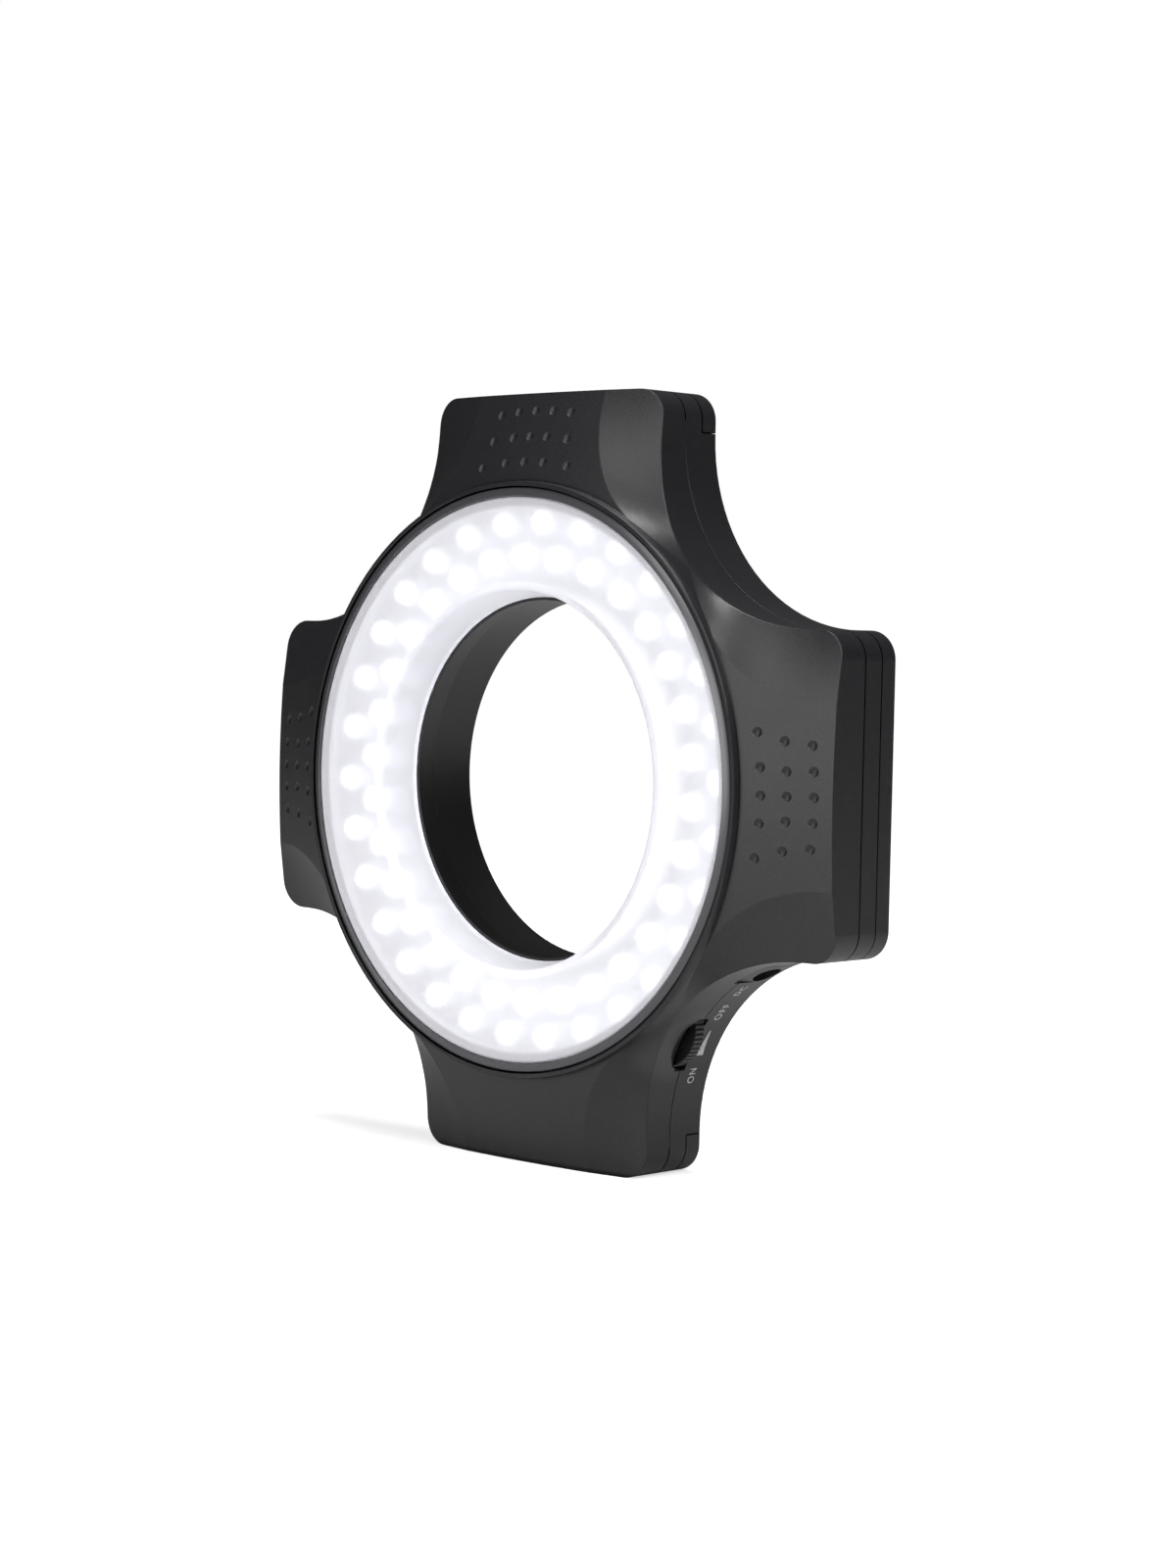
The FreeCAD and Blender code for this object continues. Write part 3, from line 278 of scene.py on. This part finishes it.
tube_black = (0.008, 0.008, 0.0085)
tube_finish = moulded_plastic("tube_plastic", tube_black, mottle=0.1, roughness=0.42, grain_size=0.0006,
                              grain_height=0.000008, edge=0.0002)
finish_with(tube_finish, "lens_tube")


# LED board: a round of glass fibre laminate under white solder mask, screwed to four posts
# of the rear shell. Copper tracks show faintly as raised lines.

def circuit_board(name, mask, laminate, track_size):
    """Solder mask over tracks, whose edges stand a little proud."""
    track_height = 0.00004
    material, tree, shader = new_finish(name)
    inputs = {"Vector": place_on(tree), "Scale": 1 / track_size}
    tracks = added(tree, "TexVoronoi", inputs, feature="DISTANCE_TO_EDGE").outputs["Distance"]
    tone = coloured(tracks, (0.04, laminate), (0.1, mask))
    feed(shader, {
        "Base Color": tone,
        "Roughness": 0.35,
        "Normal": raised(tone, track_height).outputs["Normal"]})
    return material


white_mask, white_laminate = (0.55, 0.56, 0.55), (0.43, 0.45, 0.42)
finish_with(circuit_board("led_board_mask", white_mask, white_laminate, track_size=0.006), "led_board")


# LEDs: sixty 5 mm lamps in clear resin, lit, soldered to the board in two staggered rings.
# Each glows most at its dome and fades towards its flange.

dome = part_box("leds_outer")[0][1]
dome_length, lamp_length = 0.001, 0.0034
dim, bright = 0.03, 0.66
lit_resin, tree, shader = new_finish("lit_led_resin")
level = axes_of(place_on(tree))["Y"]
feed(shader, {
    "Base Color": (0.9, 0.92, 0.95, 1),
    "Roughness": 0.2,
    "Emission Color": (0.96, 0.97, 1, 1),
    "Emission Strength": eased(level, dome + lamp_length, dome + dome_length, dim, bright)})
finish_with(lit_resin, "leds_outer", "leds_inner")


# Diffuser: a ring of milky acrylic, rolled over into the bore, with the LEDs behind it. It
# rests on the bezel's foot and is held by the ring round it. Its skirt behind the rim is
# greyer, as light from the front doesn't reach it.

def from_line(tree, x, z):
    """How far a point lies from a line along the bore that passes through x and z."""
    axes = axes_of(place_on(tree))
    squares = [worked("POWER", worked("SUBTRACT", axes[axis], at), 2) for axis, at in (("X", x), ("Z", z))]
    return worked("SQRT", worked("ADD", *squares))


diffuser_low, diffuser_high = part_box("diffuser")
diffuser_front, diffuser_rim = diffuser_low[1], diffuser_high[0]
# Painted light: the diffuser's face glows by itself, in place of the LEDs' light scattered in the acrylic;
# its skirt doesn't glow.
painted_face_glow = 0.15
milky, tree, shader = new_finish("milky_acrylic")
level = axes_of(place_on(tree))["Y"]
at_rim = eased(from_line(tree, 0, 0), diffuser_rim - 0.0022, diffuser_rim - 0.0016, 0, 1)
behind_face = eased(level, diffuser_front + 0.0004, diffuser_front + 0.0012, 0, 1)
skirt = worked("MULTIPLY", at_rim, behind_face)
feed(shader, {
    "Base Color": coloured(skirt, (0, (0.92, 0.92, 0.95)), (1, (0.6, 0.6, 0.63))),
    "Roughness": ranged(patches(tree, per_metre=400), 0.28, 0.3),
    "IOR": 1.45,
    "Transmission Weight": 0.65,
    "Emission Color": (0.94, 0.94, 1, 1),
    "Emission Strength": eased(skirt, 0, 1, painted_face_glow, 0)})
finish_with(milky, "diffuser")


# Bezel ring: charcoal plastic with a satin polish, snapped in between the diffuser and the
# collar of the front shell. Its face falls off a little towards its rim.

bezel_low, bezel_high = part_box("bezel_ring")
rim = bezel_high[0]
front = -bezel_low[1]
rear = -bezel_high[1]
slack = 0.0001
inside = diffuser_rim + slack
foot = diffuser_rim - 0.0015
foot_front = rear + 0.001
section = [
    (foot, rear), (rim, rear), (rim, foot_front), (rim - slack, foot_front),
    (rim - slack, front - 0.0009), (rim - 0.00016, front - 0.00072), (rim - 0.0003, front - 0.0006),
    (inside + 0.00012, front - 0.00022), (inside + 0.00003, front - 0.00028), (inside, front - 0.0004),
    (inside, foot_front), (foot, foot_front)]
ring = bmesh.new()
corners = [ring.verts.new((radius, -depth, 0)) for radius, depth in section]
outline = [ring.edges.new((corner, corners[place - 1])) for place, corner in enumerate(corners)]
bmesh.ops.spin(ring, geom=corners + outline, cent=(0, 0, 0), axis=(0, 1, 0), angle=2 * math.pi,
               steps=256, use_merge=True)
bmesh.ops.recalc_face_normals(ring, faces=ring.faces)
data = bpy.data.meshes.new("bezel_face_ring")
ring.to_mesh(data)
ring.free()
data.shade_smooth()
data.set_sharp_from_angle(angle=math.radians(40))
bezel = bpy.data.objects.new("bezel_face_ring", data)
bpy.context.scene.collection.objects.link(bezel)
charcoal = (0.045, 0.045, 0.05)
bezel_finish = moulded_plastic("bezel_plastic", charcoal, mottle=0.05, roughness=0.26, grain_size=0.0004,
                               grain_height=0.000001, edge=0.00005)
feed(bezel_finish.node_tree.nodes["Principled BSDF"], {"Specular IOR Level": 0.6})
data.materials.append(bezel_finish)
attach(bezel, "housing")
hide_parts("bezel_ring")


# Screws: zinc plated steel with a faint pattern of the plating bath. Four hold the case
# together from the rear, and four hold the LED board on its posts.

def bare_metal(name, colour, roughness, mark_size, mark_height):
    """Plated or drawn metal with fine marks."""
    material, tree, shader = new_finish(name)
    marks = patches(tree, per_metre=1 / mark_size, detail=4)
    feed(shader, {
        "Base Color": coloured(marks, (0.3, tuple(c * 0.85 for c in colour)), (0.7, colour)),
        "Metallic": 1,
        "Roughness": ranged(marks, roughness - 0.06, roughness + 0.06),
        "Normal": raised(marks, mark_height).outputs["Normal"]})
    return material


zinc_finish = bare_metal("zinc_plate", (0.55, 0.56, 0.58), roughness=0.34, mark_size=0.0005,
                         mark_height=0.00001)
finish_with(zinc_finish, "case_screws", "board_screws")


# Batteries: four AA cells in a plain printed sleeve, bare metal at both ends. One lies
# across each arm, in its bay behind the door.

sleeve_half = 0.026
sleeve_start, band_start, cap_start = 0.05, 0.7, 0.95
bare_end, sleeve_grey, copper_band = (0.6, 0.6, 0.6), (0.05, 0.052, 0.056), (0.45, 0.2, 0.07)


def battery_sleeve(name, axis, turned):
    """A grey sleeve with a copper band at the cap end, and metal beyond the sleeve."""
    material, tree, shader = new_finish(name)
    inputs = {"Value": axes_of(place_on(tree))[axis],
              "From Min": -sleeve_half * turned, "From Max": sleeve_half * turned}
    along = added(tree, "MapRange", inputs).outputs["Result"]
    feed(shader, {
        "Base Color": coloured(along, (0, bare_end), (sleeve_start, sleeve_grey), (band_start, copper_band),
                               (cap_start, bare_end), between="CONSTANT"),
        "Metallic": coloured(along, (0, (1, 1, 1)), (sleeve_start, (0.3, 0.3, 0.3)), (cap_start, (1, 1, 1)),
                             between="CONSTANT"),
        "Roughness": ranged(patches(tree, per_metre=500), 0.22, 0.4)})
    return material


for arm, axis, turned in (("right", "Z", 1), ("top", "X", -1), ("left", "Z", -1), ("bottom", "X", 1)):
    finish_with(battery_sleeve("sleeve_" + arm, axis, turned), "battery_cell_" + arm)


# Battery contacts: nickel plated strips pushed into the bays, flat at one end of each cell
# and with a coiled wire spring at the other.

contact_finish = bare_metal("nickel_plate", (0.72, 0.7, 0.66), roughness=0.28, mark_size=0.0008,
                            mark_height=0.00001)
finish_with(contact_finish, "contact_plates", "spring_plates")

spring_finish = bare_metal("spring_wire", (0.68, 0.67, 0.65), roughness=0.25, mark_size=0.0004,
                           mark_height=0.000006)
coil_low, coil_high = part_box("battery_springs")
wire = 0.0004
coil_turns = 3.5
coil_steps = 96
coil_radius, coil_taper = 0.0036, 0.0014
coil_seat, coil_length = -0.027, 0.0021
cone_radius = 0.004
along = coil_high[0] - cone_radius
depth = (coil_low[1] + coil_high[1]) / 2
springs = bpy.data.curves.new("spring_coils", "CURVE")
springs.dimensions = "3D"
springs.bevel_depth = wire
springs.bevel_resolution = 3
springs.use_fill_caps = True
for arm in range(4):
    turn = Matrix.Rotation(-arm * math.pi / 2, 4, "Y")
    coil = springs.splines.new("POLY")
    coil.points.add(coil_steps)
    for step, point in enumerate(coil.points):
        share = step / coil_steps
        angle = share * coil_turns * 2 * math.pi
        radius = coil_radius - coil_taper * share
        place = turn @ Vector((along + radius * math.cos(angle), depth + radius * math.sin(angle),
                               coil_seat + coil_length * share))
        point.co = (*place, 1)
holder = bpy.data.objects.new("spring_coils_curve", springs)
bpy.context.scene.collection.objects.link(holder)
spring_coils = bpy.data.objects.new("spring_coils", bpy.data.meshes.new_from_object(holder))
bpy.data.objects.remove(holder)
bpy.context.scene.collection.objects.link(spring_coils)
spring_coils.data.shade_smooth()
spring_coils.data.materials.append(spring_finish)
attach(spring_coils, "housing")
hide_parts("battery_springs")


# Dimmer: a ridged thumbwheel on the shaft of a small potentiometer, which is soldered to the
# control board. The wheel looks out of its slot on the seam of the lower right notch. Its
# ridges are rubbed paler by fingers, and the grooves between them stay dark.

groove_radius, ridge_radius = 0.0075, 0.008
groove_black, ridge_grey = (0.003, 0.003, 0.003), (0.045, 0.045, 0.047)
wheel_finish = moulded_plastic("wheel_plastic", groove_black, mottle=0, roughness=0.42, grain_size=0.0005,
                               grain_height=0.00001, edge=0.00008)
tree = wheel_finish.node_tree
on_ridge = eased(from_line(tree, wheel_x, wheel_z), groove_radius, ridge_radius, 0, 1)
ridge_tone = coloured(on_ridge, (0.4, groove_black), (1, ridge_grey))
feed(tree.nodes["Principled BSDF"], {"Base Color": ridge_tone})
finish_with(wheel_finish, "dimmer_wheel")
shaft_finish = bare_metal("turned_shaft", (0.6, 0.6, 0.6), roughness=0.3, mark_size=0.0003,
                          mark_height=0.000006)
finish_with(shaft_finish, "dimmer_shaft")
pot_finish = moulded_plastic("pot_resin", (0.03, 0.032, 0.045), mottle=0.2, roughness=0.4,
                             grain_size=0.0008, grain_height=0.000008, edge=0.00012)
finish_with(pot_finish, "dimmer_pot")
green_mask, green_laminate = (0.02, 0.12, 0.05), (0.03, 0.17, 0.07)
control_finish = circuit_board("control_board_mask", green_mask, green_laminate, track_size=0.003)
finish_with(control_finish, "control_board")


# Supply socket: a black moulded jack behind its hole in the notch wall, with a nickel plated
# pin in the middle.

jack_finish = moulded_plastic("jack_resin", (0.008, 0.008, 0.008), mottle=0.2, roughness=0.35,
                              grain_size=0.0006, grain_height=0.000006, edge=0.0001)
finish_with(jack_finish, "dc_jack")
pin_finish = bare_metal("pin_plate", (0.7, 0.62, 0.45), roughness=0.25, mark_size=0.0004,
                        mark_height=0.000004)
finish_with(pin_finish, "dc_jack_pin")


# Printed marks: light grey ink pad printed on the wall of the lower right notch, beside the
# wheel and the socket. The words read from the bottom arm towards the right one.

notch_centre = 0.0659
notch_radius = 0.0361
ink_height = 0.00003
ink_gap = 0.00001
wall_bends = 12

ink, tree, shader = new_finish("light_grey_ink")
worn = patches(tree, per_metre=3000)
feed(shader, {
    "Base Color": coloured(worn, (0.3, (0.4, 0.4, 0.42)), (0.6, (0.6, 0.6, 0.62))),
    "Roughness": ranged(worn, 0.45, 0.6)})


def print_mark(name, mark, start_angle, end_angle, rear_depth):
    """Lay a flat mark on the notch wall: its x runs up along the wall, its y towards the front."""
    length = math.radians(end_angle - start_angle) * notch_radius
    for step in range(1, wall_bends):
        bmesh.ops.bisect_plane(mark, geom=mark.verts[:] + mark.edges[:] + mark.faces[:],
                               plane_co=(length * step / wall_bends, 0, 0), plane_no=(1, 0, 0))
    for vertex in mark.verts:
        angle = math.radians(start_angle) + vertex.co.x / notch_radius
        outwards = Vector((-math.cos(angle), 0, math.sin(angle)))
        start = Vector((notch_centre, -rear_depth - vertex.co.y, -notch_centre))
        wall = node["rear_shell"].ray_cast(start, outwards)[1]
        vertex.co = wall - outwards * (vertex.co.z + ink_gap)
    bmesh.ops.recalc_face_normals(mark, faces=mark.faces)
    data = bpy.data.meshes.new(name)
    mark.to_mesh(data)
    mark.free()
    piece = bpy.data.objects.new(name, data)
    bpy.context.scene.collection.objects.link(piece)
    data.materials.append(ink)
    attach(piece, "housing")


for word, start_angle, end_angle, rear_depth, height in (
        ("ON", 15.5, 20.3, 0.0043, 0.0018), ("OFF", 38.1, 44.9, 0.0045, 0.0018),
        ("DC", 49.3, 54.1, 0.0048, 0.0016)):
    letters = bpy.data.curves.new("word_" + word, "FONT")
    letters.body = word
    letters.size = 1
    letters.extrude = ink_height / 2
    letters.offset = 0.003
    letters.space_character = 1.2
    letters.resolution_u = 4
    holder = bpy.data.objects.new("word_" + word, letters)
    bpy.context.scene.collection.objects.link(holder)
    mark = bmesh.new()
    mark.from_mesh(bpy.data.meshes.new_from_object(holder))
    bpy.data.objects.remove(holder)
    bmesh.ops.remove_doubles(mark, verts=mark.verts, dist=0.00001)
    low, high = (Vector(end(v.co[axis] for v in mark.verts) for axis in range(3)) for end in (min, max))
    size = Vector((math.radians(end_angle - start_angle) * notch_radius, height, ink_height))
    bmesh.ops.translate(mark, verts=mark.verts, vec=-low)
    bmesh.ops.scale(mark, verts=mark.verts, vec=[size[axis] / (high - low)[axis] for axis in range(3)])
    print_mark("mark_" + word.lower(), mark, start_angle, end_angle, rear_depth)

wedge_start, wedge_end, wedge_depth = 24.8, 33.8, 0.004
wedge_height, wedge_tip_low, wedge_tip_high = 0.0018, 0.0009, 0.0012
wedge_length = math.radians(wedge_end - wedge_start) * notch_radius
wedge = bmesh.new()
outline = [wedge.verts.new(place) for place in (
    (0, 0, 0), (wedge_length, wedge_tip_low, 0), (wedge_length, wedge_tip_high, 0), (0, wedge_height, 0))]
face = wedge.faces.new(outline)
proud = bmesh.ops.extrude_face_region(wedge, geom=[face])["geom"]
bmesh.ops.translate(wedge, verts=[v for v in proud if isinstance(v, bmesh.types.BMVert)],
                    vec=(0, 0, ink_height))
print_mark("mark_wedge", wedge, wedge_start, wedge_end, wedge_depth)


# Studio: a white floor under a white background, with soft boxes above, high on the right
# and in front. The camera stands where the photograph was taken.

bpy.ops.mesh.primitive_grid_add(x_subdivisions=4, y_subdivisions=4, size=8,
                                location=(0, 0, cad_box[0][2]))
floor = bpy.context.object
floor.name = "floor"
floor_finish, tree, shader = new_finish("white_floor")
shadow_reach, white_reach, near_glow = 0.12, 0.6, 0.65
glow = eased(away_from(tree, (0, 0, 0)), shadow_reach, white_reach, near_glow, 1)
to_camera = added(tree, "LightPath", {}).outputs["Is Camera Ray"]
feed(shader, {
    "Base Color": (0.67, 0.67, 0.67, 1),
    "Roughness": 0.9,
    "Specular IOR Level": 0.1,
    "Emission Color": (1, 1, 1, 1),
    "Emission Strength": worked("MULTIPLY", glow, to_camera)})
floor.data.materials.append(floor_finish)

world = bpy.data.worlds.new("studio")
bpy.context.scene.world = world
world.use_nodes = True
tree = world.node_tree
room = tree.nodes["Background"]
feed(room, {"Color": (1, 1, 1, 1), "Strength": 0.04})
white = added(tree, "Background", {"Color": (1, 1, 1, 1), "Strength": 1})
path = added(tree, "LightPath", {}).outputs
clear = worked("MAXIMUM", path["Is Camera Ray"], path["Is Transmission Ray"])
choice = added(tree, "MixShader", {
    0: clear, 1: room.outputs["Background"], 2: white.outputs["Background"]})
feed(tree.nodes["World Output"], {"Surface": choice.outputs["Shader"]})


def soft_box(name, azimuth, elevation, watts):
    """A square soft box at a distance, turned to the middle of the object."""
    distance = 0.9
    side = 0.4
    data = bpy.data.lights.new(name, "AREA")
    data.size = side
    data.energy = watts
    lamp = bpy.data.objects.new(name, data)
    bpy.context.scene.collection.objects.link(lamp)
    around = math.radians(azimuth)
    above = math.radians(elevation)
    lamp.location = (distance * math.sin(around) * math.cos(above),
                     -distance * math.cos(around) * math.cos(above), distance * math.sin(above))
    lamp.rotation_mode = "QUATERNION"
    lamp.rotation_quaternion = (-lamp.location).to_track_quat("-Z", "Y")
    lamp.visible_transmission = False


soft_box("top_box", azimuth=0, elevation=90, watts=6.9)
soft_box("right_box", azimuth=70, elevation=40, watts=5.9)
soft_box("front_low_box", azimuth=0, elevation=8, watts=2.6)
soft_box("front_high_box", azimuth=0, elevation=40, watts=2.3)

aim = Vector((-0.0019, 0, -0.00129))
roll = Quaternion((0, 0, 1), math.radians(1.2))
camera = bpy.data.objects.new("camera", bpy.data.cameras.new("camera"))
bpy.context.scene.collection.objects.link(camera)
camera.data.sensor_fit = "AUTO"
camera.data.sensor_width = 36
camera.data.lens = 71.67
camera.location = (0.41984, -0.44565, 0.02727)
camera.rotation_mode = "QUATERNION"
camera.rotation_quaternion = (aim - camera.location).to_track_quat("-Z", "Y") @ roll
bpy.context.scene.camera = camera
bpy.context.scene.view_settings.view_transform = "Standard"
